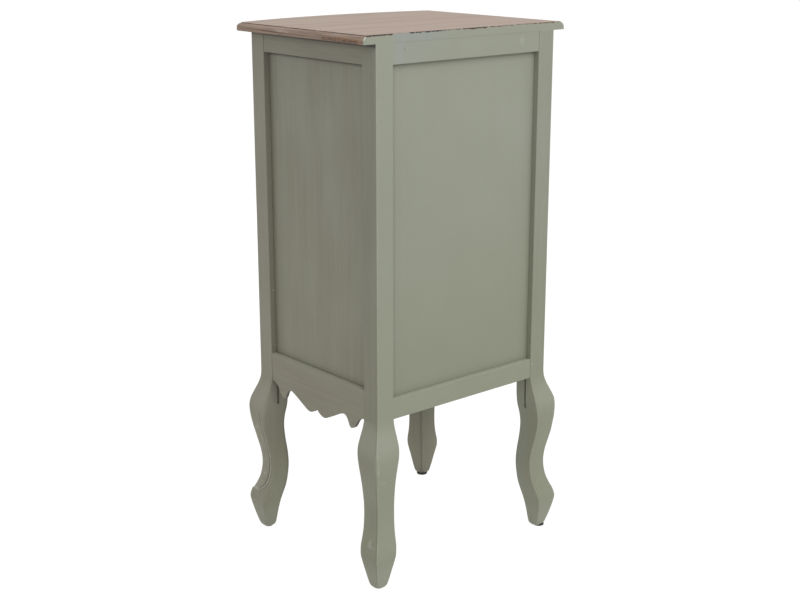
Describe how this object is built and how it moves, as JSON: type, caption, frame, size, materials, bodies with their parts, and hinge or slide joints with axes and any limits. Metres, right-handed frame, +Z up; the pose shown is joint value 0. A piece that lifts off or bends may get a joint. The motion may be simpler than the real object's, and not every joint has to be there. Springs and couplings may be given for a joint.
{
  "type": "nightstand",
  "caption": "Tall narrow bedside chest with a bowed front, sliding drawers, framed panels, scalloped aprons, a moulded wooden top and cabriole legs.",
  "frame": {"origin": "on the floor under the middle of the whole chest", "axes": "+Z up, +X to the right seen from the front, drawers open towards -Y"},
  "size_m": [0.38, 0.3416, 0.8],
  "materials": {
    "painted_wood": "satin sage-green paint with brush streaks and a thin brown glaze",
    "stained_top": "limed brown stain with open grain, satin",
    "bare_hardwood": "planed, unfinished",
    "plywood": "sanded plywood, unfinished",
    "aged_brass": "darkened, worn on the crown",
    "steel_fixings": "zinc plated",
    "black_glides": "matt black"
  },
  "bodies": {
    "carcass": {"leg_front_left": "painted_wood", "leg_front_right": "painted_wood", "leg_back_left": "painted_wood", "leg_back_right": "painted_wood", "side_panel_left": "painted_wood", "side_panel_right": "painted_wood", "side_top_rail_left": "painted_wood", "side_top_rail_right": "painted_wood", "side_apron_left": "painted_wood", "side_apron_right": "painted_wood", "top_cleat_left": "bare_hardwood", "top_cleat_right": "bare_hardwood", "back_panel": "painted_wood", "back_top_rail": "painted_wood", "back_bottom_rail": "painted_wood", "front_top_rail": "painted_wood", "front_apron": "painted_wood", "divider_upper": "painted_wood", "divider_lower": "painted_wood", "runner_upper_left": "bare_hardwood", "runner_upper_right": "bare_hardwood", "runner_middle_left": "bare_hardwood", "runner_middle_right": "bare_hardwood", "runner_lower_left": "bare_hardwood", "runner_lower_right": "bare_hardwood", "drawer_stops": "bare_hardwood", "top_board": "stained_top", "top_screws": "steel_fixings", "foot_glides": "black_glides", "glide_nails": "steel_fixings"},
    "drawer_upper": {"drawer_upper_front": "painted_wood", "drawer_upper_side_left": "bare_hardwood", "drawer_upper_side_right": "bare_hardwood", "drawer_upper_back": "bare_hardwood", "drawer_upper_bottom": "plywood", "drawer_upper_knob": "aged_brass", "drawer_upper_knob_screw": "steel_fixings"},
    "drawer_middle": {"drawer_middle_front": "painted_wood", "drawer_middle_side_left": "bare_hardwood", "drawer_middle_side_right": "bare_hardwood", "drawer_middle_back": "bare_hardwood", "drawer_middle_bottom": "plywood", "drawer_middle_knob": "aged_brass", "drawer_middle_knob_screw": "steel_fixings"},
    "drawer_lower": {"drawer_lower_front": "painted_wood", "drawer_lower_side_left": "bare_hardwood", "drawer_lower_side_right": "bare_hardwood", "drawer_lower_back": "bare_hardwood", "drawer_lower_bottom": "plywood", "drawer_lower_knob": "aged_brass", "drawer_lower_knob_screw": "steel_fixings"}
  },
  "joints": [
    {"name": "drawer_upper_slide", "type": "slide", "parent": "carcass", "child": "drawer_upper", "axis": [0, -1, 0], "range_m": [0, 0.19]},
    {"name": "drawer_middle_slide", "type": "slide", "parent": "carcass", "child": "drawer_middle", "axis": [0, -1, 0], "range_m": [0, 0.19]},
    {"name": "drawer_lower_slide", "type": "slide", "parent": "carcass", "child": "drawer_lower", "axis": [0, -1, 0], "range_m": [0, 0.19]}
  ]
}
